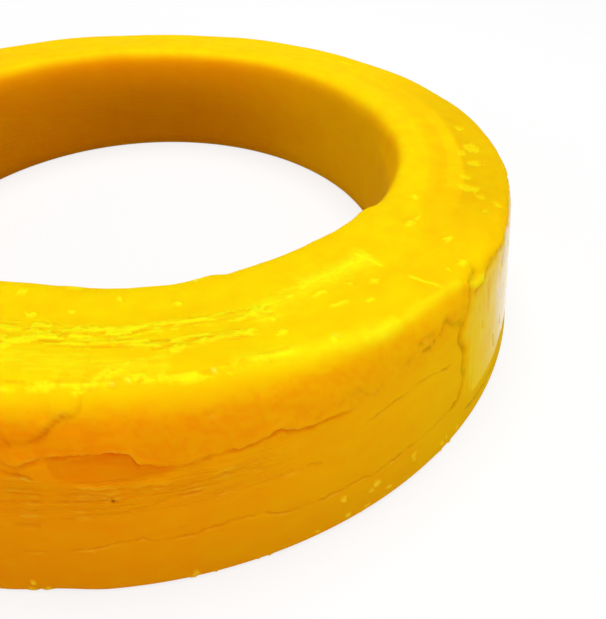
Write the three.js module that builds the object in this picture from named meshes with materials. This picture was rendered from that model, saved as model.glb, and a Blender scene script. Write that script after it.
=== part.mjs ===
// Toilet pan seal: a ring of soft wax, moulded in one piece.
// Lengths are in millimetres. The ring stands on its flat base at z = 0, with its axis on Z.
// Angles are in degrees round the axis, from +X towards +Y. The worn front is near -90.
import * as THREE from 'three';
import { LoftGeometry } from 'three/addons/geometries/LoftGeometry.js';
import { mergeVertices } from 'three/addons/utils/BufferGeometryUtils.js';

// Moulded section: both walls lean so that the ring leaves its mould upwards
const BASE_DIAMETER = 135;
const HOLE_DIAMETER = 87.4;
const HEIGHT = 24.7;
const OUTER_DRAFT = 4;
const HOLE_DRAFT = 1.5;
const CROWN_FALL = 0.5;
const OUTER_ROUND = 3.6;
const INNER_ROUND = 4.6;
const FOOT_ROUND = 0.8;

// Front of the outer edge, pressed rounder by handling
const WORN_ANGLE = -90;
const WORN_HALF_ARC = 56;
const WORN_ROUND_IN = 1.4;
const WORN_ROUND_DOWN = 4.2;

// Laps in the outer wall, where one pour of wax set before the next
const LAP_WIDTH = 1;
const LAP_REACH = 6;
const UPPER_LAP = {
  level: HEIGHT - 7.4,
  depth: 0.45,
  from: -116,
  to: -54,
  wander: [[-108, 0.8], [-101, 1.1], [-94, 0], [-89, -0.1], [-83, 0.7], [-76, 0.2], [-69, -0.6], [-56, -2.9]],
};
const LOWER_LAP = {
  level: 6.9,
  depth: 0.3,
  from: -116,
  to: -54,
  wander: [[-105, -0.2], [-98, 0.2], [-93, 1.2], [-90, 0.6], [-85, 1], [-80, -0.1], [-72, -0.1], [-57, -0.6]],
};
const LAP_FADE = 9;

// Patch torn out of the wall under the upper lap
const TORN = { angle: -98, halfArc: 11, below: 2.4, halfHeight: 3.2, depth: 0.5 };

// Crack down the wall from the top edge
const CRACK = { angle: -54, lean: 0.09, start: 1.5, length: 16, halfWidth: 1.5, depth: 0.6, fade: 2.5 };

// Ridges of wax smeared along the top face, set in from its outer edge
const SMEARS = [
  { inset: 3.3, halfWidth: 2.4, height: 0.5, angle: -88, halfArc: 34 },
  { inset: 9.5, halfWidth: 3, height: 0.34, angle: -90, halfArc: 32 },
  { inset: 14, halfWidth: 2.6, height: 0.2, angle: -64, halfArc: 20 },
];

// Dents in the right of the top face
const DENTS = [
  { angle: -16, inset: 5.2, halfWidth: 2.4, depth: 0.5 },
  { angle: -22, inset: 5.3, halfWidth: 1.8, depth: 0.4 },
  { angle: -29.5, inset: 6.9, halfWidth: 2.4, depth: 0.4 },
  { angle: -36, inset: 3.3, halfWidth: 2, depth: 0.35 },
  { angle: -47, inset: 11.5, halfWidth: 2.4, depth: 0.35 },
];

// Nick in the rim of the hole
const NICK = { angle: -45, halfWidth: 3.4, depth: 0.8 };

// Unevenness of a soft body, as waves round the ring that lean as they cross the section
const SWELLS = [
  { waves: 3, size: 0.16, phase: 25, lean: 2 },
  { waves: 7, size: 0.12, phase: 140, lean: 5 },
  { waves: 17, size: 0.07, phase: 75, lean: 11 },
];
const SWELL_START = 4;

// Facets: stations close together on the marked arc, rows along each run of the section
const MARKED_ARC = { from: -118, to: 2, stations: 78 };
const PLAIN_STATIONS = 70;
const BORE_ROWS = 6;
const RIM_ROWS = 4;
const TOP_ROWS = 8;
const EDGE_ROWS = 6;
const WALL_ROWS = 5;
const SKIRT_ROWS = 4;
const FOOT_ROWS = 2;

const WAX = new THREE.MeshStandardMaterial({ color: 0xf5b800, roughness: 0.38, metalness: 0 });

const FOOT_RADIUS = BASE_DIAMETER / 2;
const EDGE_RADIUS = FOOT_RADIUS - OUTER_DRAFT;
const RIM_RADIUS = HOLE_DIAMETER / 2;
const BORE_RADIUS = RIM_RADIUS + HOLE_DRAFT;

const { degToRad, euclideanModulo, lerp, smoothstep } = THREE.MathUtils;

// One at the middle of a mark, falling to nothing at its edge
function bell(offset, halfWidth) {
  const reach = Math.min(Math.abs(offset) / halfWidth, 1);
  return (1 + Math.cos(Math.PI * reach)) / 2;
}

// Degrees from a heading, at most half a turn either way
function turnFrom(heading, degrees) {
  return euclideanModulo(degrees - heading + 180, 360) - 180;
}

// Millimetres from a heading, measured along the arc
function arcFrom(heading, degrees, radius) {
  return degToRad(turnFrom(heading, degrees)) * radius;
}

// Radius of each wall and height of the crown, before any marks
function wallRadius(z) {
  return lerp(FOOT_RADIUS, EDGE_RADIUS, z / HEIGHT);
}

function boreRadius(z) {
  return lerp(BORE_RADIUS, RIM_RADIUS, z / HEIGHT);
}

function crownHeight(radius) {
  return HEIGHT - (CROWN_FALL * (radius - RIM_RADIUS)) / (EDGE_RADIUS - RIM_RADIUS);
}

// A line along the section, and a rounded corner between two of them
function straight(start, end) {
  return new THREE.LineCurve(start, end);
}

function rounded(start, corner, end) {
  return new THREE.QuadraticBezierCurve(start, corner, end);
}

// How much of a lap shows at an angle, and its height up the wall there
function lapPresence(lap, degrees) {
  const middle = (lap.from + lap.to) / 2;
  const halfArc = (lap.to - lap.from) / 2;
  const beyondFade = halfArc - Math.abs(turnFrom(middle, degrees));
  return smoothstep(beyondFade, 0, LAP_FADE);
}

function lapLevel(lap, degrees) {
  const middle = (lap.from + lap.to) / 2;
  const turn = middle + turnFrom(middle, degrees);
  const last = lap.wander.length - 1;
  let next = lap.wander.findIndex(([angle]) => angle > turn);
  if (next < 0) next = last;
  if (next === 0) next = 1;
  const [fromAngle, fromRise] = lap.wander[next - 1];
  const [toAngle, toRise] = lap.wander[next];
  const rise = lerp(fromRise, toRise, smoothstep(turn, fromAngle, toAngle));
  return lap.level + rise * lapPresence(lap, degrees);
}

// The wax stands proud just above a lap and starts again flush below it
function lapRelief(lap, degrees, z) {
  const above = z - lapLevel(lap, degrees);
  const lip = smoothstep(above, -LAP_WIDTH, 0) * bell(Math.max(above, 0), LAP_REACH);
  return lap.depth * lip * lapPresence(lap, degrees);
}

function tornRelief(degrees, z) {
  const middle = lapLevel(UPPER_LAP, degrees) - TORN.below;
  return -TORN.depth * bell(turnFrom(TORN.angle, degrees), TORN.halfArc) * bell(z - middle, TORN.halfHeight);
}

function crackRelief(degrees, point) {
  const along = HEIGHT - CRACK.start - point.y;
  const side = arcFrom(CRACK.angle, degrees, point.x) + CRACK.lean * (along - CRACK.length / 2);
  const ends = smoothstep(along, 0, CRACK.fade) * smoothstep(CRACK.length - along, 0, CRACK.fade);
  return -CRACK.depth * bell(side, CRACK.halfWidth) * ends;
}

function smearRelief(degrees, radius) {
  let relief = 0;
  for (const smear of SMEARS) {
    const along = bell(turnFrom(smear.angle, degrees), smear.halfArc);
    relief += smear.height * along * bell(EDGE_RADIUS - smear.inset - radius, smear.halfWidth);
  }
  return relief;
}

function dentRelief(degrees, radius) {
  let relief = 0;
  for (const dent of DENTS) {
    const dentRadius = EDGE_RADIUS - dent.inset;
    const away = Math.hypot(arcFrom(dent.angle, degrees, dentRadius), radius - dentRadius);
    relief -= dent.depth * bell(away, dent.halfWidth);
  }
  return relief;
}

function nickRelief(degrees, point) {
  const along = arcFrom(NICK.angle, degrees, RIM_RADIUS);
  const away = Math.hypot(along, point.x - RIM_RADIUS, HEIGHT - point.y);
  return -NICK.depth * bell(away, NICK.halfWidth);
}

function swellRelief(degrees, point) {
  const across = point.y - point.x;
  let relief = 0;
  for (const { waves, size, phase, lean } of SWELLS) {
    relief += size * Math.cos(degToRad(waves * degrees + phase + lean * across));
  }
  return relief * smoothstep(point.y, 0, SWELL_START);
}

// The section's runs at one angle, in order up the bore, over the top, down the wall and under
function sectionRuns(degrees) {
  const worn = bell(turnFrom(WORN_ANGLE, degrees), WORN_HALF_ARC);
  const roundIn = OUTER_ROUND + WORN_ROUND_IN * worn;
  const roundDown = OUTER_ROUND + WORN_ROUND_DOWN * worn;
  const rimTop = RIM_RADIUS + INNER_ROUND;
  const edgeTop = EDGE_RADIUS - roundIn;
  const wallTop = HEIGHT - roundDown;
  const boreTop = HEIGHT - INNER_ROUND;

  const boreFoot = new THREE.Vector2(boreRadius(FOOT_ROUND), FOOT_ROUND);
  const boreShoulder = new THREE.Vector2(boreRadius(boreTop), boreTop);
  const rimCorner = new THREE.Vector2(RIM_RADIUS, HEIGHT);
  const rimShoulder = new THREE.Vector2(rimTop, crownHeight(rimTop));
  const edgeShoulder = new THREE.Vector2(edgeTop, crownHeight(edgeTop));
  const edgeCorner = new THREE.Vector2(EDGE_RADIUS, crownHeight(EDGE_RADIUS));
  const wallShoulder = new THREE.Vector2(wallRadius(wallTop), wallTop);
  const wallFoot = new THREE.Vector2(wallRadius(FOOT_ROUND), FOOT_ROUND);
  const wallCorner = new THREE.Vector2(FOOT_RADIUS, 0);
  const soleOuter = new THREE.Vector2(FOOT_RADIUS - FOOT_ROUND, 0);
  const soleInner = new THREE.Vector2(BORE_RADIUS + FOOT_ROUND, 0);
  const boreCorner = new THREE.Vector2(BORE_RADIUS, 0);

  const wall = new THREE.CurvePath();
  wall.add(rounded(edgeShoulder, edgeCorner, wallShoulder));
  wall.add(straight(wallShoulder, wallFoot));
  return {
    bore: straight(boreFoot, boreShoulder),
    rim: rounded(boreShoulder, rimCorner, rimShoulder),
    top: straight(rimShoulder, edgeShoulder),
    wall,
    outerFoot: rounded(wallFoot, wallCorner, soleOuter),
    innerFoot: rounded(soleInner, boreCorner, boreFoot),
  };
}

// Evenly spaced points from one place on a curve up to, but without, another
function addRows(rows, curve, from, to, count) {
  for (let row = 0; row < count; row += 1) {
    rows.push({ curve, at: lerp(from, to, row / count) });
  }
}

// Rows run closer together where a lap crosses the wall, and follow it
function wallRowBreaks(wall, degrees) {
  const slant = Math.hypot(OUTER_DRAFT, HEIGHT) / HEIGHT;
  const placeOf = (z) => 1 - ((z - FOOT_ROUND) * slant) / wall.getLength();
  const upper = lapLevel(UPPER_LAP, degrees);
  const lower = lapLevel(LOWER_LAP, degrees);
  return [placeOf(upper), placeOf(upper - LAP_WIDTH), placeOf(lower), placeOf(lower - LAP_WIDTH)];
}

function sectionRows(degrees) {
  const runs = sectionRuns(degrees);
  const [lap, underLap, lowLap, underLowLap] = wallRowBreaks(runs.wall, degrees);
  const rows = [];
  addRows(rows, runs.bore, 0, 1, BORE_ROWS);
  addRows(rows, runs.rim, 0, 1, RIM_ROWS);
  addRows(rows, runs.top, 0, 1, TOP_ROWS);
  addRows(rows, runs.wall, 0, lap, EDGE_ROWS);
  addRows(rows, runs.wall, lap, underLap, 1);
  addRows(rows, runs.wall, underLap, lowLap, WALL_ROWS);
  addRows(rows, runs.wall, lowLap, underLowLap, 1);
  addRows(rows, runs.wall, underLowLap, 1, SKIRT_ROWS);
  addRows(rows, runs.outerFoot, 0, 1, FOOT_ROWS);
  addRows(rows, runs.innerFoot, 0, 1, FOOT_ROWS);
  rows.splice(rows.length - FOOT_ROWS, 0, { curve: runs.outerFoot, at: 1 });
  return rows;
}

// A row's point moved along the section's outward normal by every mark that reaches it
function markedPoint(row, degrees) {
  const point = row.curve.getPointAt(row.at);
  const tangent = row.curve.getTangentAt(row.at);
  const outward = new THREE.Vector2(-tangent.y, tangent.x);
  const isOutside = point.x > (RIM_RADIUS + EDGE_RADIUS) / 2;
  let relief = swellRelief(degrees, point);
  relief += smearRelief(degrees, point.x) + dentRelief(degrees, point.x) + nickRelief(degrees, point);
  if (isOutside) {
    relief += lapRelief(UPPER_LAP, degrees, point.y) + lapRelief(LOWER_LAP, degrees, point.y);
    relief += tornRelief(degrees, point.y) + crackRelief(degrees, point);
  }
  return point.addScaledVector(outward, relief);
}

function sectionAt(degrees) {
  const heading = degToRad(degrees);
  return sectionRows(degrees).map((row) => {
    const { x: radius, y: z } = markedPoint(row, degrees);
    return new THREE.Vector3(radius * Math.cos(heading), radius * Math.sin(heading), z);
  });
}

function ringHeadings() {
  const headings = [];
  for (let i = 0; i < MARKED_ARC.stations; i += 1) {
    headings.push(lerp(MARKED_ARC.from, MARKED_ARC.to, i / MARKED_ARC.stations));
  }
  for (let i = 0; i < PLAIN_STATIONS; i += 1) {
    headings.push(lerp(MARKED_ARC.to, MARKED_ARC.from + 360, i / PLAIN_STATIONS));
  }
  return headings;
}

function waxRing() {
  const sections = ringHeadings().map(sectionAt);
  sections.push(sections[0]);
  const skin = new THREE.BufferGeometry().copy(new LoftGeometry(sections));
  skin.deleteAttribute('uv');
  skin.deleteAttribute('normal');
  const closed = mergeVertices(skin);
  closed.computeVertexNormals();
  const ring = new THREE.Mesh(closed, WAX);
  ring.name = 'wax_ring';
  return ring;
}

const seal = new THREE.Group();
seal.add(waxRing());

export default seal;
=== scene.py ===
import math

import bpy
import numpy as np
from mathutils import Matrix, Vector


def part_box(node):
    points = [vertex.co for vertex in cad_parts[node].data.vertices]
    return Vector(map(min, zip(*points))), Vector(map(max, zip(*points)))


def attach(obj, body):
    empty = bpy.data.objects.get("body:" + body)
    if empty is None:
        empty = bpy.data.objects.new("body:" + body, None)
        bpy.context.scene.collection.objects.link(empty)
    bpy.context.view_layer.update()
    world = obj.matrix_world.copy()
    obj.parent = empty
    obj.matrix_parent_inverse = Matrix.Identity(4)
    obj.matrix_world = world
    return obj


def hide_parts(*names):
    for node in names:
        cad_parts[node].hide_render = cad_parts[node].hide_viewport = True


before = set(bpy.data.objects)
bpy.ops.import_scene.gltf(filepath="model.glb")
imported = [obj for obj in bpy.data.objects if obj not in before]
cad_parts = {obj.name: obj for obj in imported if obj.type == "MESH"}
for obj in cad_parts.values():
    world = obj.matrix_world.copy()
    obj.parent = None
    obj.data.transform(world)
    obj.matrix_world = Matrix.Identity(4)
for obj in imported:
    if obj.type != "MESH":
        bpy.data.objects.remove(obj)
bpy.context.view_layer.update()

# The ring's section, in millimetres, from the box that the CAD solid fills
MM = 0.001
RELIEF_ROOM = 0.28
RING_LOW, RING_HIGH = (np.array(corner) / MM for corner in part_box("wax_ring"))
FOOT_RADIUS = (RING_HIGH[0] - RING_LOW[0]) / 2
HEIGHT = RING_HIGH[2] - RELIEF_ROOM
WALL_LEAN = 3.9
EDGE_RADIUS = FOOT_RADIUS - WALL_LEAN
RIM_RADIUS = 43.7
BORE_RADIUS = 45.2
CROWN_FALL = 0.5
OUTER_ROUND = 3.6
# How far the lean of the rim reaches below its rounding, and how much more where the rim flares
RIM_DEPTH = 1.5
FLARE_DEPTH = 1.5
# Roundings along the two edges, and how far the rim of the hole flares: degrees round the ring, mm
OUTER_ROUNDS = [(-66, 3.6), (-40, 2.7), (-25, 2.3), (-10, 2.3), (8, 3.6)]
INNER_ROUNDS = [
    (-95, 4.6), (-78, 3.7), (-62, 2.8), (-45, 2.3), (-14, 2), (12, 4.2), (45, 4.6), (75, 5.8), (115, 6),
    (200, 4.6),
]
RIM_FLARES = [
    (-62, 0), (-57, 0.45), (-51, 0.5), (-48.5, 0.25), (-46, 0.9), (-43, 1.4), (-37, 1.7), (-14, 1.75),
    (-4, 0.7), (12, 0.4), (22, 0), (44, -0.1), (60, 0.3), (76, 0.65), (90, 0.8), (104, 0.2), (125, 0),
]
FOOT_ROUND = 0.8
# The front of the outer edge is worn rounder
WORN_ANGLE = -90
WORN_HALF_ARC = 56
WORN_ROUND_IN = 1.4
WORN_ROUND_DOWN = 4.2

# Mesh spacing: arcs round the ring with the step between stations, in degrees
ARCS = [(-126, -112, 1), (-112, -58, 0.22), (-58, -50, 0.12), (-50, -2, 0.28), (-2, 234, 1.9)]
BORE_ROWS = 8
LEAN_ROWS = 4
RIM_ROWS = 10
TOP_ROWS = 40
FOOT_ROWS = 3
# Rows down the outside: above the upper lap, along it, down to the foot of the fan of streaks,
# to the lower lap, along it, and below
SIDE_ROWS = [20, 12, 26, 9, 10, 14]
LAP_HALF_BAND = 0.8
FAN_FOOT = 13.2
SIDE_SAMPLES = 60

# Runs of the section, as labels on the rows
BORE, RIM, TOP, EDGE, WALL, FOOT = range(6)

# The laps in the wax of the wall: degrees round the ring, and drop below the top edge in mm
UPPER_LAP = [
    (-101.0, 5.7), (-97.9, 5.8), (-95.3, 5.7), (-93.6, 6.3), (-93.0, 7.3), (-90.5, 7.9),
    (-88.6, 8.1), (-87.0, 7.7), (-85.6, 7.6), (-83.4, 7.5), (-81.5, 7.2), (-80.1, 6.8), (-79.3, 7.3),
    (-76.7, 7.7), (-74.0, 7.8), (-72.9, 7.9), (-71.4, 8.3),
]
UPPER_BRANCH = [
    (-71.0, 11.0), (-68.8, 10.5), (-67.1, 10.2), (-64.4, 10.1), (-62.6, 9.7), (-60.4, 10.3), (-58.3, 10.9),
    (-55.9, 11.1),
]
LOWER_LAP = [
    (-106.0, 18.4), (-100.8, 18.4), (-97.8, 18.0), (-94.7, 17.2), (-93.2, 16.8), (-92.4, 17.6),
    (-90.2, 17.6), (-85.4, 17.1), (-82.1, 17.2), (-80.5, 18.2), (-76.0, 18.6), (-72.7, 18.5),
    (-70.9, 18.5), (-69.8, 19.0), (-67.7, 18.7), (-62.2, 18.8), (-58.7, 18.9), (-55.0, 18.8),
]


# Noise that repeats the same way each run

NOISE_SEED = 11
NOISE_GAIN = 1.5
rng = np.random.RandomState(NOISE_SEED)
SHUFFLE = np.tile(rng.permutation(256), 2)
GRADIENTS = rng.normal(size=(256, 3))
GRADIENTS /= np.linalg.norm(GRADIENTS, axis=1)[:, None]


def perlin(x, y, z):
    cell = [np.floor(c).astype(int) for c in (x, y, z)]
    part = [c - n for c, n in zip((x, y, z), cell)]
    ease = [p * p * p * (p * (p * 6 - 15) + 10) for p in part]
    total = 0
    for corner in range(8):
        step = (corner & 1, corner >> 1 & 1, corner >> 2 & 1)
        key = 0
        for n, s in zip(cell, step):
            key = SHUFFLE[(key + n + s) & 255]
        slope = GRADIENTS[key]
        value = sum(slope[..., k] * (part[k] - step[k]) for k in range(3))
        for e, s in zip(ease, step):
            value = value * (e if s else 1 - e)
        total = total + value
    return total * NOISE_GAIN


def ring_noise(turn, across, along_size, across_size, octaves=1, layer=0):
    """Noise on the ring's skin, with grains of one size along the arc and another across it, in mm."""
    total, weight, scale = 0, 0, 1
    for octave in range(octaves):
        around = FOOT_RADIUS / along_size * scale
        value = perlin(
            np.cos(turn) * around + 7.3 * layer,
            np.sin(turn) * around + 3.1 * octave,
            across / across_size * scale + 19.7 * layer,
        )
        total = total + value / scale
        weight += 1 / scale
        scale *= 2
    return total / weight


def bell(offset, half_width):
    reach = np.minimum(np.abs(offset) / half_width, 1)
    return (1 + np.cos(np.pi * reach)) / 2


def ease(value, start, end):
    t = np.clip((value - start) / (end - start), 0, 1)
    return t * t * (3 - 2 * t)


def turn_from(heading, degrees):
    return (degrees - heading + 180) % 360 - 180


# The moulded section, sampled at every station and row

def stations():
    return np.concatenate([np.arange(start, end, step) for start, end, step in ARCS])


def line_rows(start, end, count):
    t = np.arange(count) / count
    point = start[:, None, :] * (1 - t)[:, None] + end[:, None, :] * t[:, None]
    along = np.repeat((end - start)[:, None, :], count, axis=1)
    return point, along


def round_rows(start, corner, end, count):
    t = (np.arange(count) / count)[:, None]
    a, c, b = start[:, None, :], corner[:, None, :], end[:, None, :]
    point = a * (1 - t) ** 2 + c * 2 * t * (1 - t) + b * t * t
    along = (c - a) * (1 - t) + (b - c) * t
    return point, along


def side_rows(shoulder, corner, wall_shoulder, wall_foot, degrees):
    """Rows down the rounded edge and the wall, crowded along the two laps."""
    edge, edge_along = round_rows(shoulder, corner, wall_shoulder, SIDE_SAMPLES)
    wall, wall_along = line_rows(wall_shoulder, wall_foot, SIDE_SAMPLES)
    path = np.concatenate([edge, wall, wall_foot[:, None]], axis=1)
    along = np.concatenate([edge_along, wall_along, wall_along[:, -1:]], axis=1)
    along /= np.linalg.norm(along, axis=2, keepdims=True)
    upper = np.interp(degrees, *zip(*UPPER_LAP[:-1], *UPPER_BRANCH[1:]))
    lower = np.interp(degrees, *zip(*LOWER_LAP))
    points, tangents = [], []
    for i in range(len(degrees)):
        length = np.concatenate([[0], np.cumsum(np.linalg.norm(np.diff(path[i], axis=0), axis=1))])
        drops = [
            upper[i] - LAP_HALF_BAND, upper[i] + LAP_HALF_BAND, FAN_FOOT,
            lower[i] - LAP_HALF_BAND, lower[i] + LAP_HALF_BAND,
        ]
        stops = [0, *np.interp(drops, HEIGHT - path[i, :, 1], length), length[-1]]
        rows = np.concatenate([
            np.linspace(start, end, count, endpoint=False)
            for start, end, count in zip(stops, stops[1:], SIDE_ROWS)
        ])
        points.append([np.interp(rows, length, path[i, :, k]) for k in range(2)])
        tangents.append([np.interp(rows, length, along[i, :, k]) for k in range(2)])
    return np.moveaxis(points, 1, 2), np.moveaxis(tangents, 1, 2)


def section_grid(degrees):
    """Radius, height, outward normal and run of each point of the unmarked ring."""
    worn = bell(turn_from(WORN_ANGLE, degrees), WORN_HALF_ARC)
    outer_round = np.interp(degrees, *zip(*OUTER_ROUNDS))
    inner_round = np.interp(degrees, *zip(*INNER_ROUNDS))
    rim = RIM_RADIUS + np.interp(degrees, *zip(*RIM_FLARES))
    round_in = outer_round + WORN_ROUND_IN * worn
    round_down = outer_round + WORN_ROUND_DOWN * worn
    one = np.ones_like(degrees)

    def wall_radius(z):
        return FOOT_RADIUS + (EDGE_RADIUS - FOOT_RADIUS) * z / HEIGHT

    def bore_radius(z):
        return BORE_RADIUS + (RIM_RADIUS - BORE_RADIUS) * z / HEIGHT

    def crown(r):
        return HEIGHT - CROWN_FALL * (r - RIM_RADIUS) / (EDGE_RADIUS - RIM_RADIUS)

    def spot(r, z):
        return np.stack([r * one, z * one], axis=1)

    rim_top = rim + inner_round
    edge_top = EDGE_RADIUS - round_in
    wall_top = HEIGHT - round_down
    bore_top = HEIGHT - inner_round - RIM_DEPTH - FLARE_DEPTH * (rim - RIM_RADIUS)
    bore_foot = spot(bore_radius(FOOT_ROUND), FOOT_ROUND)
    bore_shoulder = spot(bore_radius(bore_top), bore_top)
    rim_corner = spot(rim, HEIGHT)
    lean = bore_shoulder - rim_corner
    rim_foot = rim_corner + lean * (inner_round / np.linalg.norm(lean, axis=1))[:, None]
    rim_shoulder = spot(rim_top, crown(rim_top))
    edge_shoulder = spot(edge_top, crown(edge_top))
    wall_shoulder = spot(wall_radius(wall_top), wall_top)
    wall_foot = spot(wall_radius(FOOT_ROUND), FOOT_ROUND)
    sole_outer = spot(FOOT_RADIUS - FOOT_ROUND, 0)
    sole_inner = spot(BORE_RADIUS + FOOT_ROUND, 0)
    runs = [
        (BORE, line_rows(bore_foot, bore_shoulder, BORE_ROWS)),
        (RIM, line_rows(bore_shoulder, rim_foot, LEAN_ROWS)),
        (RIM, round_rows(rim_foot, rim_corner, rim_shoulder, RIM_ROWS)),
        (TOP, line_rows(rim_shoulder, edge_shoulder, TOP_ROWS)),
        (EDGE, side_rows(
            edge_shoulder, spot(EDGE_RADIUS, crown(EDGE_RADIUS)), wall_shoulder, wall_foot, degrees
        )),
        (FOOT, round_rows(wall_foot, spot(FOOT_RADIUS, 0), sole_outer, FOOT_ROWS)),
        (FOOT, line_rows(sole_outer, sole_inner, 1)),
        (FOOT, round_rows(sole_inner, spot(BORE_RADIUS, 0), bore_foot, FOOT_ROWS)),
    ]
    points = np.concatenate([run[0] for _, run in runs], axis=1)
    along = np.concatenate([run[1] for _, run in runs], axis=1)
    along /= np.linalg.norm(along, axis=2, keepdims=True)
    normal = np.stack([-along[..., 1], along[..., 0]], axis=2)
    row_runs = np.concatenate([np.full(run[0].shape[1], label) for label, run in runs])
    labels = row_runs[None, :] + np.zeros(points.shape[:2], dtype=int)
    labels[(labels == EDGE) & (points[..., 1] < wall_top[:, None])] = WALL
    return points[..., 0], points[..., 1], normal, labels


# Camera and stage

CAMERA_DISTANCE = 0.1271
CAMERA_ELEVATION = math.radians(34.01)
CAMERA_YAW = math.radians(11.5)
CAMERA_PITCH = math.radians(-2.21)
CAMERA_ROLL = math.radians(5.39)
FOCAL_PIXELS = 620.5
LONG_SIDE_PIXELS = 619
PHOTO_CENTRE_OFFSET = (-25, -105)
SENSOR_WIDTH = 36
CLIP_START = 0.005
FLOOR_SIZE = 6
FLOOR_WHITE_SHARE = 0.78
FLOOR_GREY = (0.5, 0.5, 0.5, 1)
WHITE = (1, 1, 1, 1)
SKY_FILL = 0.3
# Each lamp: name, place and size across in metres, power in watts
LAMPS = [
    ("overhead", (0.05, 0.1, 0.7), 0.5, 3.4),
    ("front_low", (0.25, -0.9, 0.12), 0.5, 4),
    ("left_fill", (-0.8, -0.3, 0.3), 0.4, 1.4),
]


def add_camera():
    data = bpy.data.cameras.new("camera")
    data.sensor_width = SENSOR_WIDTH
    data.lens = FOCAL_PIXELS / LONG_SIDE_PIXELS * SENSOR_WIDTH
    data.shift_x = -PHOTO_CENTRE_OFFSET[0] / LONG_SIDE_PIXELS
    data.shift_y = PHOTO_CENTRE_OFFSET[1] / LONG_SIDE_PIXELS
    data.clip_start = CLIP_START
    camera = bpy.data.objects.new("camera", data)
    bpy.context.collection.objects.link(camera)
    towards = Matrix.Rotation(math.pi / 2 - CAMERA_ELEVATION, 4, "X")
    turned = (
        Matrix.Rotation(CAMERA_ROLL, 4, "Z")
        @ Matrix.Rotation(CAMERA_PITCH, 4, "X")
        @ Matrix.Rotation(CAMERA_YAW, 4, "Y")
    )
    place = Matrix.Translation((
        0,
        -CAMERA_DISTANCE * math.cos(CAMERA_ELEVATION),
        CAMERA_DISTANCE * math.sin(CAMERA_ELEVATION),
    ))
    camera.matrix_world = place @ towards @ turned.inverted()
    bpy.context.scene.camera = camera


def add_area_light(name, place, size, power):
    data = bpy.data.lights.new(name, "AREA")
    data.shape = "DISK"
    data.size = size
    data.energy = power
    light = bpy.data.objects.new(name, data)
    bpy.context.collection.objects.link(light)
    place = Matrix.Translation(place)
    aim = (-place.translation).to_track_quat("-Z", "Y").to_matrix().to_4x4()
    light.matrix_world = place @ aim


def background_rays(tree):
    """One for rays that show the background: from the camera, in a gloss or through glass."""
    path = tree.nodes.new("ShaderNodeLightPath")
    seen = path.outputs["Is Camera Ray"]
    for name in ("Is Glossy Ray", "Is Transmission Ray"):
        both = tree.nodes.new("ShaderNodeMath")
        both.operation = "MAXIMUM"
        tree.links.new(seen, both.inputs[0])
        tree.links.new(path.outputs[name], both.inputs[1])
        seen = both.outputs[0]
    return seen


def set_world(fill):
    world = bpy.data.worlds.new("studio")
    bpy.context.scene.world = world
    world.use_nodes = True
    tree = world.node_tree
    strength = tree.nodes.new("ShaderNodeMapRange")
    strength.inputs["To Min"].default_value = fill
    strength.inputs["To Max"].default_value = 1
    tree.links.new(background_rays(tree), strength.inputs["Value"])
    background = tree.nodes["Background"]
    background.inputs["Color"].default_value = WHITE
    tree.links.new(strength.outputs[0], background.inputs["Strength"])


def add_floor(size, white_share):
    mesh = bpy.data.meshes.new("floor")
    h = size / 2
    mesh.from_pydata([(-h, -h, 0), (h, -h, 0), (h, h, 0), (-h, h, 0)], [], [(0, 1, 2, 3)])
    floor = bpy.data.objects.new("floor", mesh)
    bpy.context.collection.objects.link(floor)
    material = bpy.data.materials.new("white_paper")
    material.use_nodes = True
    tree = material.node_tree
    tree.nodes.clear()
    paper = tree.nodes.new("ShaderNodeBsdfDiffuse")
    shade = tree.nodes.new("ShaderNodeMix")
    shade.data_type = "RGBA"
    shade.inputs["A"].default_value = FLOOR_GREY
    shade.inputs["B"].default_value = WHITE
    tree.links.new(background_rays(tree), shade.inputs["Factor"])
    tree.links.new(shade.outputs["Result"], paper.inputs["Color"])
    glow = tree.nodes.new("ShaderNodeEmission")
    share = tree.nodes.new("ShaderNodeMath")
    share.operation = "MULTIPLY"
    share.inputs[1].default_value = white_share
    tree.links.new(background_rays(tree), share.inputs[0])
    mix = tree.nodes.new("ShaderNodeMixShader")
    output = tree.nodes.new("ShaderNodeOutputMaterial")
    tree.links.new(share.outputs[0], mix.inputs["Fac"])
    tree.links.new(paper.outputs[0], mix.inputs[1])
    tree.links.new(glow.outputs[0], mix.inputs[2])
    tree.links.new(mix.outputs[0], output.inputs["Surface"])
    mesh.materials.append(material)


# Marks in the wax. A place is (degrees round the ring, mm), where mm is the drop below the top
# edge on the wall, and the distance out from the hole on the top.

# The sharp, ragged edge of the top on the right
RAGGED_EDGE = [
    (-54.4, 1.9), (-52.9, 2.5), (-50.9, 3.5), (-49.2, 3.1), (-47.6, 2.3), (-46.0, 2.0), (-43.8, 2.2),
    (-41.7, 2.4), (-39.5, 1.7), (-36.2, 1.4), (-33.8, 1.2), (-26, 1.5), (-18, 1.4),
]
# Over how far the wax above a crease falls back, and the depth from which a crease is fully dark
LIP_FADE = 1.8
DARK_DEPTH = 0.22
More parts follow.
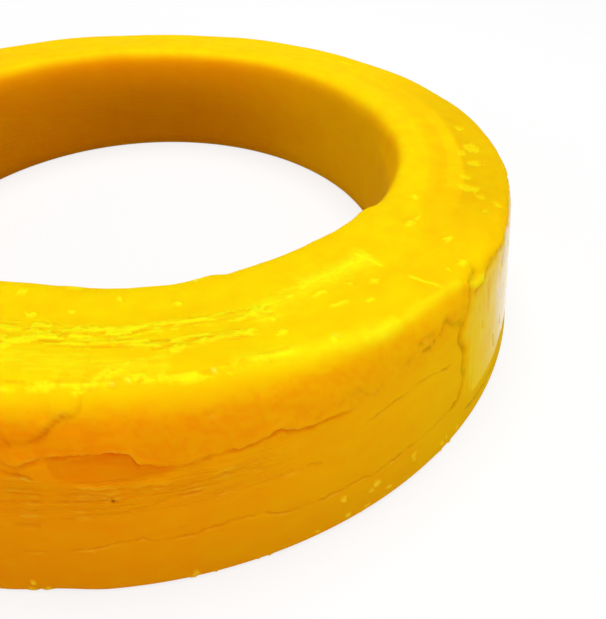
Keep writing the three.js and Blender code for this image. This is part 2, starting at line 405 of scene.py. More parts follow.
# Each crease: half width, depth, how far the wax above it stands out, and its line
CREASES = [
    (0.22, 0.24, 0.17, UPPER_LAP[:6]),
    (0.24, 0.3, 0.17, [(-90.1, 8.2), *UPPER_LAP[6:]]),
    (0.2, 0.17, 0.05, UPPER_BRANCH),
    (0.15, 0.17, 0.04, LOWER_LAP),
    (0.25, 0.16, 0.2, [(-104.7, 6.2), (-104.0, 6.5), (-103.3, 7.0), (-102.3, 6.3), (-101.0, 5.7)]),
    (0.25, 0.26, 0.1, [(-105.4, 7.0), (-104.1, 7.6), (-103.0, 7.7), (-101.8, 8.3)]),
    (0.26, 0.26, 0.2, [(-105.4, 2.2), (-104.5, 3.3), (-103.9, 4.0), (-103.4, 4.7)]),
    (0.22, 0.28, 0.22, [(-103.4, 4.5), (-102.3, 4.3), (-101.3, 3.9), (-100.6, 3.2), (-100.1, 2.6)]),
    (0.2, 0.2, 0.2, [(-100.3, 2.7), (-99.2, 2.3), (-98.1, 2.1), (-97.6, 1.8)]),
    (0.22, 0.24, 0.12, [(-97.6, 0.6), (-97.6, 1.4), (-97.7, 1.9), (-98.3, 2.3)]),
    (0.22, 0.16, 0.02, [(-106.6, 15.0), (-104.1, 14.6), (-101.4, 14.3)]),
    (0.22, 0.1, 0.02, [(-94.4, 16.5), (-91.5, 16.7), (-90.2, 16.4), (-88.8, 16.0)]),
    (0.35, 0.1, 0.05, [(-88.6, 3.4), (-87.3, 3.3), (-85.8, 3.1)]),
    (0.22, 0.1, 0.05, [(-80.9, 5.6), (-79.6, 5.3)]),
    (0.22, 0.1, 0.05, [(-76.8, 6.8), (-75.5, 7.0)]),
    (0.3, 0.13, 0.1, [(-74.1, 6.9), (-73.0, 6.1), (-72.2, 6.0), (-70.3, 6.0)]),
    (0.3, 0.12, 0.05, [(-70.8, 6.7), (-69.8, 7.1), (-68.6, 7.4)]),
    (0.22, 0.15, 0.02, [(-77.6, 12.8), (-75.8, 13.1)]),
    (0.2, 0.08, 0.02, [(-82.0, 12.5), (-80.4, 12.9), (-78.8, 12.9), (-77.4, 13.0)]),
    (0.2, 0.09, 0.02, [(-82.1, 9.5), (-80.6, 9.7)]),
    (0.2, 0.1, 0.02, [(-84.8, 9.6), (-82.3, 9.7)]),
    (0.2, 0.1, 0.02, [(-86.0, 10.3), (-84.8, 10.5), (-81.9, 10.8)]),
    (0.2, 0.1, 0.04, [(-88.5, 11.4), (-87.3, 11.1), (-85.7, 11.4)]),
    (0.25, 0.1, 0.02, [(-86.9, 12.9), (-83.7, 12.1)]),
    (0.4, 0.36, 0.1, [(-57.9, 3.3), (-57.5, 4.3), (-56.5, 5.3), (-54.7, 5.8)]),
    (0.22, 0.2, 0.08, [(-63.6, 4.8), (-61.8, 4.1), (-60.2, 3.8)]),
    (0.26, 0.24, 0.08, [(-62.8, 5.9), (-60.9, 5.5), (-60.2, 4.9)]),
    (0.26, 0.2, 0.06, [(-59.7, 4.9), (-58.6, 4.1), (-57.6, 3.5)]),
    (0.26, 0.12, 0.05, [(-66.2, 5.8), (-64.8, 5.8), (-63.6, 5.7)]),
    (0.3, 0.2, 0.1, [(-53.5, 21.7), (-50.7, 22.1), (-47.4, 22.5), (-44.5, 22.5), (-40.6, 22.8)]),
    (0.2, 0.3, 0, [(-46.8, 4.0), (-46.6, 7.4), (-46.8, 8.8), (-46.4, 10.2)]),
    (0.22, 0.16, 0, [(-50.1, 6.4), (-49.7, 7.4)]),
    (0.2, 0.16, 0, [(-48.6, 8.3), (-48.2, 12.0)]),
    (0.2, 0.25, 0, [(-43.4, 16.4), (-42.8, 19.2)]),
    (0.2, 0.25, 0, [(-39.9, 15.8), (-39.4, 18.2)]),
    (0.2, 0.25, 0, [(-40.9, 4.6), (-40.5, 6.2)]),
    (0.3, 0.25, 0.22, RAGGED_EDGE),
    # The fan drawn by a rough edge, under the upper lap
    (0.17, 0.05, 0.14, [(-107, 8.7), (-103.1, 8.5), (-101.3, 8.8), (-98, 9.4)]),
    (0.17, 0.05, 0.12, [(-101, 9.2), (-96.6, 9.7), (-93.0, 10.2), (-87.8, 10.2), (-82, 9.8)]),
    (0.16, 0.12, 0.05, [(-106, 9.4), (-96, 10.1), (-86, 10.6)]),
    (0.17, 0.2, 0.08, [(-105, 10.3), (-101.5, 10.3), (-98.3, 10.2), (-95.4, 10.7)]),
    (0.16, 0.14, 0.06, [(-100, 10.6), (-95, 10.9), (-91, 10.8), (-83, 10.4)]),
    (0.17, 0.22, 0.08, [(-107, 11.7), (-102.4, 11.2), (-100.1, 11.2), (-96.7, 11.3), (-93.5, 11.5)]),
    (0.16, 0.14, 0.06, [(-95, 11.2), (-90, 11.3), (-86, 11.5)]),
    (0.16, 0.12, 0.05, [(-104, 12.4), (-96, 12.3), (-88, 11.8)]),
    (0.17, 0.06, 0.16, [(-103.9, 13.3), (-101.0, 13.3)]),
    (0.18, 0.17, 0.1, [(-100.6, 13.7), (-98.6, 13.3), (-96.9, 13.0), (-94.5, 13.0), (-92.0, 12.6),
                       (-90.1, 12.0), (-87.0, 11.9)]),
]
CRACK = [
    (-49.4, 1.0), (-50.3, 1.5), (-51.2, 1.8), (-52.2, 2.3), (-52.8, 3.8), (-53.2, 5.2), (-53.7, 6.7),
    (-55.0, 7.1), (-55.2, 8.3), (-54.4, 9.7), (-53.7, 11.4), (-54.0, 13.5), (-53.5, 15.7), (-54.0, 17.3),
    (-55.0, 18.5), (-57.4, 19.0),
]
# Half width of the crack along its length
CRACK_WIDTHS = [(0, 0.24), (0.15, 0.36), (0.3, 0.36), (0.5, 0.5), (0.75, 0.56), (0.9, 0.3), (1, 0.18)]
CRACK_DEPTH = 0.7
CRACK_LIP = 0.12
# The bright sliver between the head of the crack and the sheen
SLIVER = [(-48.4, 2.9), (-50.0, 2.7), (-51.4, 2.6), (-52.3, 2.8)]
SLIVER_HALF_WIDTH = 0.85
SLIVER_RISE = 0.15
# The patch where a flake came off under the upper lap: its lower border
TORN_FOOT = [
    (-101.2, 5.6), (-100.7, 6.6), (-100.6, 7.2), (-100.3, 8.1), (-99.8, 8.8), (-98.8, 9.0), (-96.6, 9.5),
    (-93.0, 9.4), (-90.0, 8.9), (-86.0, 8.3),
]
TORN_DEPTH = 0.3
PIT = {"place": (-95.5, 11.6), "width": 0.16, "depth": 0.2}

# The film of wax pressed over the top edge on the left: how far down it reaches
FILM_FOOT = [
    (-126, 4.6), (-103.1, 4.4), (-102.3, 4.4), (-101.1, 3.8), (-100.5, 3.2), (-100.3, 2.8), (-100.0, 2.5),
    (-99.2, 2.3), (-98.1, 2.1), (-97.7, 1.8), (-97.6, -9),
]
FILM_THICKNESS = 0.18
FACET_STEP = 0.07

# The streaked field under the upper lap, where a rough edge was drawn along the wall, and how
# strongly the hole's wall shows streaks of the same kind
BORE_STREAKS = 0.35
STREAKS = {"from": -110, "to": -80, "top": 8.4, "bottom": 14, "fade": 3}

# Ridges of smeared wax on the top: half width, height, how flaky they are, and their middle line
SMEARS = [
    (0.42, 0.36, 1, [(-112, 17.0), (-102.8, 16.8), (-99.5, 16.6), (-98.1, 17.0), (-94.5, 16.7),
                     (-92.8, 16.4), (-90.3, 16.7), (-87.6, 16.9), (-84, 16.6), (-79.0, 16.5), (-76, 16.4)]),
    (1, 0.22, 0.12, [(-84, 16.4), (-78.0, 16.6), (-73.8, 17.3), (-69.2, 18.0), (-64.0, 18.4)]),
    (0.9, 0.16, 1, [(-110, 9.0), (-104.7, 8.8), (-101.5, 9.5), (-95.0, 9.8), (-89.1, 9.7), (-86.7, 9.3),
                    (-83.1, 9.5), (-76, 10.1)]),
    (0.8, 0.16, 1, [(-110, 11.4), (-105.7, 11.0), (-102.4, 10.8), (-99.0, 11.6), (-95.5, 11.4),
                    (-90.1, 12.4), (-84, 12.2), (-79, 12.8)]),
    (1.6, 0.12, 0.3, [(-80, 10.6), (-74, 9.4), (-70.2, 8.2), (-64, 8.2), (-58, 8.2)]),
    (1.5, 0.06, 0.3, [(-112, 13.6), (-104, 13.8), (-97, 14.6), (-89, 15.4)]),
    (1.3, 0.05, 0, [(-71.8, 7.5), (-67.9, 7.8), (-64.5, 8.1), (-61.4, 7.9), (-58.0, 7.7)]),
    (0.55, 0.1, 0, [(-70.0, 17.8), (-64.6, 18.4), (-60.5, 18.3), (-56.3, 18.4), (-54.6, 18.7),
                    (-53.1, 19.0)]),
]
# Painted highlights on the tips of the smears, where light catches: place and size
TIPS = [
    ((-95.5, 10.9), 0.09), ((-94.9, 16.7), 0.09), ((-93.4, 16.4), 0.08), ((-93.0, 16.3), 0.12),
    ((-88.7, 16.6), 0.1), ((-86.6, 16.5), 0.09), ((-85.5, 16.6), 0.1), ((-82.9, 16.5), 0.08),
    ((-72.2, 16.7), 0.1), ((-84.5, 2.0), 0.09),
]
# Specks and dabs on the top: place, length along the arc, width and height
DABS = [
    ((-108.8, 3.5), 1.6, 0.5, 0.16), ((-106.1, 7.2), 1, 0.5, 0.2), ((-100.9, 6.5), 0.8, 0.5, 0.14),
    ((-95.3, 4.7), 0.5, 0.4, 0.14), ((-87.6, 6.1), 1, 0.6, 0.2), ((-92.9, 4.3), 0.5, 0.4, 0.1),
    ((-99.6, 9.9), 1.6, 1.4, 0.16), ((-88.6, 13.2), 1.4, 0.8, 0.2), ((-85.4, 12.4), 0.8, 0.6, 0.2),
    ((-78.8, 10.2), 0.9, 0.7, 0.24), ((-104.2, 8.9), 1.7, 0.8, 0.12), ((-103.0, 10.3), 1.5, 0.8, 0.12),
    ((-106.8, 12.2), 1.3, 0.5, 0.16), ((-102.0, 2.3), 1.5, 0.6, 0.1), ((-84.0, 2.2), 1.3, 0.6, 0.1),
    ((-73.6, 9.2), 0.7, 0.5, 0.12), ((-65.2, 14.2), 1, 0.5, 0.08),
    ((-77.2, 11.7), 0.6, 0.5, 0.2), ((-77.2, 14.0), 1.4, 0.5, 0.2), ((-69.9, 10.3), 1.6, 0.6, 0.24),
    ((-65.5, 10.6), 1, 0.5, 0.2), ((-72.7, 16.8), 0.6, 0.5, 0.2), ((-62.5, 12), 1.6, 0.5, 0.14),
    ((-47.5, 8.2), 1.8, 1.1, 0.26), ((-45, 8.4), 1.2, 0.5, 0.2), ((-38.6, 6.2), 0.9, 1, 0.18),
    ((-47.4, 14), 1.2, 0.8, 0.16), ((-53.3, 16.7), 0.5, 0.5, 0.2), ((-51.1, 17.4), 1, 0.5, 0.18),
]
# Dimples on the right of the top: place, length along the arc, width across
DIMPLES = [
    ((-16.1, 14.6), 2, 1.6), ((-8.3, 14.5), 1, 1.1), ((-22.2, 14.3), 1.1, 1.3), ((-27.7, 12.5), 0.9, 1.3),
    ((-31.3, 13.2), 1.2, 2), ((-18.4, 12.5), 1.6, 0.8), ((-33.4, 15.2), 0.9, 0.8), ((-34.7, 17.9), 0.8, 0.8),
    ((-37.2, 16.4), 0.8, 0.6), ((16, 9.7), 1, 1.2), ((33, 13.5), 1.2, 1.2),
]
DIMPLE_DEPTH = 0.22
# Thin raised lines on the top, drawn out or scratched
SCRATCHES = [
    [(-101.3, 16.8), (-99.7, 16.7), (-97.9, 16.8), (-96.1, 16.8), (-94.5, 16.7)],
    [(-94.1, 16.5), (-93.0, 16.3), (-92.2, 16.2)],
    [(-90.8, 16.6), (-89.2, 16.7), (-87.2, 16.8)],
    [(-101.2, 9.5), (-98.2, 9.6), (-95.0, 9.6)],
    [(-95.2, 9.8), (-92.5, 9.4), (-89.5, 9.9)],
    [(-89.4, 10.2), (-87.7, 9.4), (-86.3, 9.2), (-83.0, 9.7)],
    [(-94.8, 11.7), (-92.5, 12.1), (-89.8, 12.5)],
    [(-58.2, 13.6), (-57.6, 16.0), (-56.3, 18.2)],
    [(-60.1, 6.6), (-59.5, 8.4), (-59.0, 11.2)],
    [(-97.0, 16.5), (-95.2, 14.9)],
    [(-96.0, 16.3), (-94.3, 15.2), (-93.2, 14.1)],
    [(-70.4, 12.6), (-67.4, 13.0)],
    [(-84.6, 12.5), (-79.6, 12.2)],
]
SCRATCH_WIDTH = 0.22
SCRATCH_RISE = 0.07
# Knocks on the rim of the hole: place, size and rise
RIM_KNOCKS = [
    ((-109, 1.2), 3, 0.35), ((-104, 1.2), 3, 0.16), ((-102.6, 1.2), 1.6, 0.15), ((-82.4, 1.2), 2.2, 0.34),
    ((-79, 1.4), 1.2, -0.25), ((-46.4, 1), 1.1, 0.3),
]
# Flash along the foot: angles where it starts and ends
FLASH = [(-104.4, -101.6), (-90, -85.4), (-83, -81.2), (-71.8, -69.6), (-59.5, -54.5), (14, 22), (151, 160)]
FLASH_RISE = 1.1
FLASH_DEPTH = 0.12
# Small raised flecks low on the wall, painted bright as glints: degrees round the ring, drop
FLECKS = [
    (-69.9, 21.5), (-69.2, 21.0), (-69.1, 20.5), (-67.4, 22.9), (-70.3, 23.5), (-72.8, 23.5), (-76.5, 23.4),
    (-63.4, 21.4), (-63.6, 20.6), (-58.3, 23.2), (-57.4, 22.8), (-54.8, 23.4), (-73.4, 20.3), (-103.5, 23.1),
    (-88.8, 23.8), (-45.2, 23.3),
]
# The foot is a little hollow here
FOOT_HOLLOW = {"angle": -101.5, "half_arc": 5, "depth": 0.25, "height": 3}

# Unevenness of a soft body: waves round the ring, size, phase, and lean across the section
SWELLS = [(3, 0.14, 25, 2), (7, 0.1, 140, 5), (17, 0.06, 75, 11)]


def near_line(degrees, across, line, radius):
    """Distance from a line, which side of it, and how far along it, for every point of the skin."""
    x = np.radians(turn_from(-90, degrees)) * radius
    corners = [(math.radians(turn_from(-90, angle)) * radius, place) for angle, place in line]
    best = np.full(across.shape, 1e9)
    side, share = np.zeros(across.shape), np.zeros(across.shape)
    lengths = [math.dist(a, b) for a, b in zip(corners, corners[1:])]
    done = 0
    for (ax, ay), (bx, by), length in zip(corners, corners[1:], lengths):
        dx, dy = (bx - ax) / length, (by - ay) / length
        t = np.clip((x - ax) * dx + (across - ay) * dy, 0, length)
        gap = np.hypot(x - ax - dx * t, across - ay - dy * t)
        closer = gap < best
        best = np.where(closer, gap, best)
        side = np.where(closer, dx * (across - ay) - dy * (x - ax), side)
        share = np.where(closer, (done + t) / sum(lengths), share)
        done += length
    return best, side, share


def taper(share, part=0.12):
    return ease(share, 0, part) * ease(1 - share, 0, part)


class Skin:
    """The sampled ring, with the relief and colour masks that the marks add to it."""

    def __init__(self):
        degrees = stations()
        self.radius, self.z, self.normal, self.run = section_grid(degrees)
        self.degrees = degrees[:, None] + 0 * self.radius
        self.turn = np.radians(self.degrees)
        self.drop = HEIGHT - self.z
        self.out = self.radius - RIM_RADIUS
        self.outside = (self.radius > (RIM_RADIUS + EDGE_RADIUS) / 2) & (self.run >= TOP)
        self.on_top = (self.run >= RIM) & (self.run <= EDGE)
        self.up = np.clip(self.normal[..., 1], 0, 1)
        # Full detail where the mesh is fine, fading out past it
        self.seen = ease(self.degrees, -126, -113) * ease(-self.degrees, -16, 0)
        self.relief = np.zeros_like(self.radius)
        self.dark = np.zeros_like(self.radius)
        self.light = np.zeros_like(self.radius)
        self.pale_and_highlight = np.zeros_like(self.radius)
        self.smear = np.zeros_like(self.radius)
        self.tips = np.zeros_like(self.radius)
        self.shadow = np.zeros_like(self.radius)
        self.flash_and_glints = np.zeros_like(self.radius)
        # Places across the skin, made ragged so that no mark has a drawn edge: the fall down the
        # wall, less than nothing on the top, and the distance out over the top
        self.fall = self.drop - np.maximum(EDGE_RADIUS - OUTER_ROUND - self.radius, 0)
        wobble = 0.2 * self.noise(3, 2, layer=1) + 0.34 * self.noise(0.9, 0.9, 2, layer=2)
        self.ragged_fall = self.fall + wobble
        self.ragged_out = self.out + wobble
        self.patchy = self.noise(2.6, 4, 2, layer=4)

    def noise(self, along_size, across_size, octaves=1, layer=0, shift=0):
        across = self.z - self.radius + shift
        return ring_noise(self.turn, across, along_size, across_size, octaves, layer)

    def arc_from(self, angle, radius):
        """Distance round the ring from an angle, in mm."""
        return np.radians(turn_from(angle, self.degrees)) * radius

    def ragged_reach(self, place, length, width, layer):
        """Distance from a place on the top in half lengths and half widths, made ragged."""
        x = self.arc_from(place[0], RIM_RADIUS + place[1])
        reach = np.hypot(x / length, (self.ragged_out - place[1]) / width)
        return reach + 0.5 * self.noise(1, 0.6, layer=layer)

    def add_swells(self):
        for waves, size, phase, lean in SWELLS:
            angle = waves * self.turn + math.radians(phase) + np.radians(lean) * (self.z - self.radius)
            self.relief += size * np.cos(angle) * ease(self.z, 0, 4)
        self.relief += 0.06 * self.noise(9, 6, 2, layer=3) * ease(self.z, 0, 2)
        self.relief += 0.05 * self.noise(3.4, 2.2, 2, layer=13) * ease(self.z, 0, 2) * self.seen

    def add_crease(self, width, depth, lip, line):
        gap, side, share = near_line(self.degrees, self.ragged_fall, line, FOOT_RADIUS)
        above = np.where(side < 0, gap, -gap)
        strength = taper(share) * self.outside * np.clip(0.8 + 1.5 * self.patchy, 0.1, 1.3)
        step = ease(above, -width, width * 0.5) * np.exp(-np.maximum(above, 0) / LIP_FADE)
        groove = np.exp(-((above + width * 0.5) / width) ** 2)
        self.relief += strength * (lip * step - depth * groove)
        self.dark += strength * groove * min(1, depth / DARK_DEPTH) ** 1.5
        # A painted highlight along the lip above the crease; where the lip is slight, along the wax below it
        edge = 0.16 if lip > 0.1 else -width - 0.2
        light = np.exp(-((above - edge) / 0.15) ** 2) * taper(share)
        self.light += light * ease(self.patchy, -0.1, 0.3) * self.outside

    def add_crack(self):
        gap, side, share = near_line(self.degrees, self.ragged_fall, CRACK, FOOT_RADIUS)
        strength = ease(share, 0, 0.06) * ease(1 - share, 0, 0.12) * self.outside
        width = np.interp(share, *zip(*CRACK_WIDTHS)) * (1 + 0.8 * self.noise(1, 1, 2, layer=20))
        groove = np.exp(-(gap / width) ** 2)
        raised = np.exp(-((gap - 0.9) / 0.5) ** 2) * (side > 0)
        self.relief += strength * (CRACK_LIP * raised - CRACK_DEPTH * groove)
        self.cleft = strength * np.exp(-(gap / width / 1.2) ** 2)

    def add_sliver(self):
        gap, _, share = near_line(self.degrees, self.fall, SLIVER, FOOT_RADIUS)
        self.sliver = ease(SLIVER_HALF_WIDTH - gap, 0, 0.3) * taper(share, 0.25) * self.outside
        self.relief += SLIVER_RISE * self.sliver
        self.dark *= 1 - self.sliver
        self.cleft *= 1 - self.sliver

    def add_torn_patch(self):
        top = np.interp(self.degrees, *zip(*UPPER_LAP))
        foot = np.interp(self.degrees, *zip(*TORN_FOOT))
        inside = ease(self.ragged_fall, top, top + 0.25) * ease(foot - self.ragged_fall, -0.1, 0.5)
        inside = inside * ease(self.degrees, -101.6, -100.8) * ease(-self.degrees, 88.6, 90.8) * self.outside
        depth = 1 - 0.6 * ease(self.ragged_fall, top, foot)
        self.relief -= TORN_DEPTH * inside * depth * (1 + 0.5 * self.noise(2, 1.4, 2, layer=5))
        self.torn_shade = inside

    def add_facets(self):
        """Flakes pressed flat near the top of the wall, which end in small steps."""
        lumps = self.noise(2.6, 1.5, 2, layer=18)
        zone = ease(self.fall, 1.2, 2.6) * ease(-self.fall, -9, -6.5) * self.outside * self.seen
        flakes = ease(lumps, 0.02, 0.1) - ease(lumps, -0.22, -0.14)
        self.relief += FACET_STEP * zone * flakes
        self.tint = 0.09 * zone * flakes

    def add_pressed_film(self):
        foot = np.interp(self.degrees, *zip(*FILM_FOOT))
        film = ease(foot - self.ragged_fall, -0.04, 0.16) * self.outside * ease(self.degrees, -126, -114)
        film = film * ease(self.fall, -8, -2)
        self.relief += FILM_THICKNESS * film
        self.pressed = film

    def add_streaks(self):
        field = ease(self.degrees, STREAKS["from"] - STREAKS["fade"], STREAKS["from"] + STREAKS["fade"])
        field = field * ease(-self.degrees, -STREAKS["to"] - STREAKS["fade"], -STREAKS["to"] + STREAKS["fade"])
        field = field * ease(self.ragged_fall, STREAKS["top"] - 0.6, STREAKS["top"] + 0.6)
        self.streaks = field * ease(STREAKS["bottom"] - self.ragged_fall, -0.6, 1.2) * self.outside
        # The same drawing shows faintly over the whole wall
        self.relief += 0.03 * self.noise(34, 1.6, 2, layer=7) * (self.run >= EDGE) * ease(self.z, 0.5, 2.5)
        self.streaks += BORE_STREAKS * (self.run == BORE)

    def add_smear(self, width, height, rough, line):
        gap, _, share = near_line(self.degrees, self.ragged_out, line, RIM_RADIUS + line[0][1])
        band = taper(share, 0.05) * self.on_top
        ridge = np.exp(-(gap / width) ** 2) * band
        inside = ease(1.3 - gap / width, 0, 0.5) * band
        flake = ease(self.flaked(0), 0, 0.08)
        shadow = ease(self.flaked(0.35), 0, 0.08) * (1 - flake)
        self.relief += height * ridge * (1 - 0.5 * rough) + rough * inside * (0.14 * flake - 0.06 * shadow)
        self.smear += rough * inside
        self.shadow += rough * inside * shadow
        # The smears are painted paler, partly as lighter wax and partly as painted highlights on their ridges
        # and flakes
        self.pale_and_highlight += 0.5 * (1 - rough) * ridge + rough * (0.75 * inside * flake + 0.22 * ridge)

    def flaked(self, shift):
        """Above nothing where a flake lies in smeared wax."""
        large = self.noise(7.5, 0.75, 2, layer=8, shift=shift)
        return large + 0.6 * self.noise(1.9, 0.5, layer=22, shift=shift) - 0.11

    def add_tip(self, place, size):
        x = self.arc_from(place[0], RIM_RADIUS + place[1])
        reach = np.hypot(x / (2.2 * size), (self.out - place[1]) / size)
        tip = ease(1.3 - reach, 0, 0.6) * self.on_top
        self.relief += 0.08 * tip
        self.tips += tip

    def add_dab(self, place, length, width, height):
        reach = self.ragged_reach(place, length, width, layer=15)
        dab = ease(0.68 - reach, 0, 0.18) * self.on_top
        self.relief += height * dab
        self.smear += 0.3 * dab
        self.pale_and_highlight += 0.9 * dab

    def add_dimple(self, place, length, width):
        reach = self.ragged_reach(place, length, width, layer=16)
        dimple = ease(1.02 - reach, 0, 0.28) * self.on_top
        self.relief -= DIMPLE_DEPTH * dimple
        self.pale_and_highlight += 0.55 * dimple

    def add_scratch(self, line):
        gap, _, share = near_line(self.degrees, self.out, line, RIM_RADIUS + line[0][1])
        scratch = np.exp(-(gap / SCRATCH_WIDTH) ** 2) * taper(share, 0.2) * self.on_top
        self.relief += SCRATCH_RISE * scratch
        # Painted highlight along the raised line
        self.pale_and_highlight += 1.1 * scratch

    def add_rim_knock(self, place, size, rise):
        x = self.arc_from(place[0], RIM_RADIUS)
        reach = np.sqrt(x ** 2 + (self.out - place[1]) ** 2 + self.drop ** 2) / size
        self.relief += rise * np.exp(-reach ** 2) * (self.run <= TOP)

    def add_pit(self):
        angle, drop = PIT["place"]
        x = self.arc_from(angle, FOOT_RADIUS)
        self.pit = np.exp(-(np.hypot(x, self.drop - drop) / PIT["width"]) ** 2) * self.outside
        self.relief -= PIT["depth"] * self.pit

    def add_fleck(self, angle, drop):
        x = self.arc_from(angle, FOOT_RADIUS)
        reach = np.hypot(x, (self.drop - drop) * 1.2) / 0.45 + self.noise(0.6, 0.6, layer=21)
        fleck = ease(1 - reach, 0, 0.4) * self.outside
        self.relief += 0.1 * fleck
        # Painted glint on the fleck
        self.flash_and_glints += fleck

    def add_flash(self):
        for start, end in FLASH:
            middle, half = (start + end) / 2, (end - start) / 2
            along = ease(half - np.abs(turn_from(middle, self.degrees)), 0, half * 0.5)
            ragged = FLASH_RISE * (0.45 + 1.3 * self.noise(0.9, 4, 2, layer=12))
            self.flash_and_glints += along * ease(ragged - self.z, 0, 0.25) * self.outside
        self.relief += FLASH_DEPTH * self.flash_and_glints * (self.z > 0.01)

    def add_foot_hollow(self):
        low = bell(self.z, FOOT_HOLLOW["height"]) * self.outside
        near = bell(turn_from(FOOT_HOLLOW["angle"], self.degrees), FOOT_HOLLOW["half_arc"])
        self.relief -= FOOT_HOLLOW["depth"] * low * near

    def add_marks(self):
        self.add_swells()
        for crease in CREASES:
            self.add_crease(*crease)
        self.add_crack()
        self.add_sliver()
        self.add_torn_patch()
        self.add_pressed_film()
        self.add_facets()
        self.add_streaks()
        for smear in SMEARS:
            self.add_smear(*smear)
        for tip in TIPS:
            self.add_tip(*tip)
        for dab in DABS:
            self.add_dab(*dab)
        for dimple in DIMPLES:
            self.add_dimple(*dimple)
        for line in SCRATCHES:
            self.add_scratch(line)
        for knock in RIM_KNOCKS:
            self.add_rim_knock(*knock)
        self.add_pit()
        self.add_flash()
        self.add_foot_hollow()
        for fleck in FLECKS:
            self.add_fleck(*fleck)

    def points(self):
        radius = self.radius + self.normal[..., 0] * self.relief
        height = np.clip(self.z + self.normal[..., 1] * self.relief, 0, RING_HIGH[2] - 0.01)
        return np.stack([radius * np.cos(self.turn), radius * np.sin(self.turn), height], axis=2) * MM


# Colours of the wax where it faces up, on the walls and in the hole; the yellow of the top against the orange
# of the walls is painted light and shade, set by which way the skin faces
TOP_COLOUR = (1.0, 0.66, 0.001)
# Where a duller layer of the top starts: degrees round the ring, mm out from the hole
DULL_EDGE = [
    (-60, 12), (-58.4, 10.9), (-54.7, 11.1), (-51.3, 11.4), (-48.6, 10.5), (-44.5, 8.9), (-38, 7), (-20, 6.5),
]
DULL_TOP_COLOUR = (1.0, 0.575, 0.001)
SHADED_TOP_COLOUR = (0.86, 0.51, 0.001)
PALE_AND_HIGHLIGHT_COLOUR = (1.0, 0.88, 0.006)
FOOT_SHADE = 0.15
BORE_SHADE = 0.225
BORE_FOOT_LIGHT = 0.09
LEFT_WALL_COLOUR = (0.91, 0.303, 0.0006)
RIGHT_WALL_COLOUR = (1.0, 0.56, 0.001)
SHADED_BORE_COLOUR = (0.86, 0.31, 0.0006)
LIT_BORE_SIDE_COLOUR = (0.97, 0.475, 0.0008)
LIP_HIGHLIGHT_COLOUR = (1.0, 0.52, 0.02)
LEFT_CREASE_SHADE = (0.1, 0.28, 0.2)
RIGHT_CREASE_SHADE = (0.26, 0.28, 0.2)
CRACK_SHADE = (0.3, 0.27, 0.2)
SMEAR_SHADE = (0.02, 0.16, 0.1)
TIP_HIGHLIGHT_COLOUR = (1.0, 0.95, 0.08)
CRUMB_SHADE_COLOUR = (1.0, 0.5, 0.001)
SLIVER_COLOUR = (1.0, 0.78, 0.006)
FLASH_AND_GLINT_COLOUR = (1.0, 0.68, 0.02)
PAINTED_SHEEN_COLOUR = (1.0, 0.645, 0.002)
PAINTED_GLARE_COLOUR = (0.9, 0.82, 0.86)
PIT_COLOUR = (0.3, 0.02, 0.0004)
TORN_PATCH_SHADE_COLOUR = (0.86, 0.25, 0.0005)


def blend_colour(under, over, share):
    return under + (np.array(over) - under) * np.clip(share, 0, 1)[..., None]


def bore_colour(skin):
    # Painted shade: the hole's wall is painted darker at its far middle and further down, lighter at its sides
    # and near its foot
    right = ease(np.abs(turn_from(100, skin.degrees)), 25, 85)
    colour = blend_colour(np.array(SHADED_BORE_COLOUR) + 0 * skin.radius[..., None], LIT_BORE_SIDE_COLOUR, right)
    depth = BORE_SHADE * ease(skin.drop, 1, 13) - BORE_FOOT_LIGHT * ease(skin.drop, 15, 24)
    return colour * (1 - depth * (0.22 + 0.78 * bell(turn_from(80, skin.degrees), 62)))[..., None]


def wall_colour(skin):
    colour = np.array(LEFT_WALL_COLOUR) + 0 * skin.radius[..., None]
    colour = blend_colour(colour, RIGHT_WALL_COLOUR, ease(np.abs(turn_from(-150, skin.degrees)), 45, 115))
    return colour * (1 - FOOT_SHADE * ease(skin.drop, 9, HEIGHT))[..., None]


def top_colour(skin):
    """The top's colour: duller layers on the right, darker towards the far side, painted shade over the outer
    part on the right, and a lighter strip.
    """
    past = skin.ragged_out - np.interp(skin.degrees, *zip(*DULL_EDGE))
    dull = 0.55 * ease(past, -0.1, 0.3) + 0.45 * ease(past, 0.2, 2)
    dull = dull * (0.45 * ease(skin.degrees, -60, -58) + 0.55 * ease(skin.degrees, -52, -40))
    dull = dull * ease(-skin.degrees, -45, -5)
    far = 0.5 * bell(turn_from(100, skin.degrees), 75) + 1.15 * bell(turn_from(158, skin.degrees), 62)
    colour = np.array(TOP_COLOUR) + 0 * skin.radius[..., None]
    colour = blend_colour(colour, DULL_TOP_COLOUR, dull * 0.95 + far)
    # Painted shade over the outer part of the top on the right, with a softer edge towards the far side
    soften = ease(skin.degrees, -20, 5)
    shaded = ease((skin.ragged_out - 12.4) / (0.25 + 1.2 * soften), -1, 1)
    shaded = shaded * ease(skin.degrees, -46, -30) * ease(-skin.degrees, -22, 0)
    colour = blend_colour(colour, SHADED_TOP_COLOUR, shaded)
    strip = ease(skin.ragged_out, 9.5, 10) * ease(-skin.ragged_out, -12.3, -11.9)
    strip = 0.8 * strip * ease(skin.degrees, -33, -32) * ease(-skin.degrees, -8, 14)
    return blend_colour(colour, TOP_COLOUR, strip)


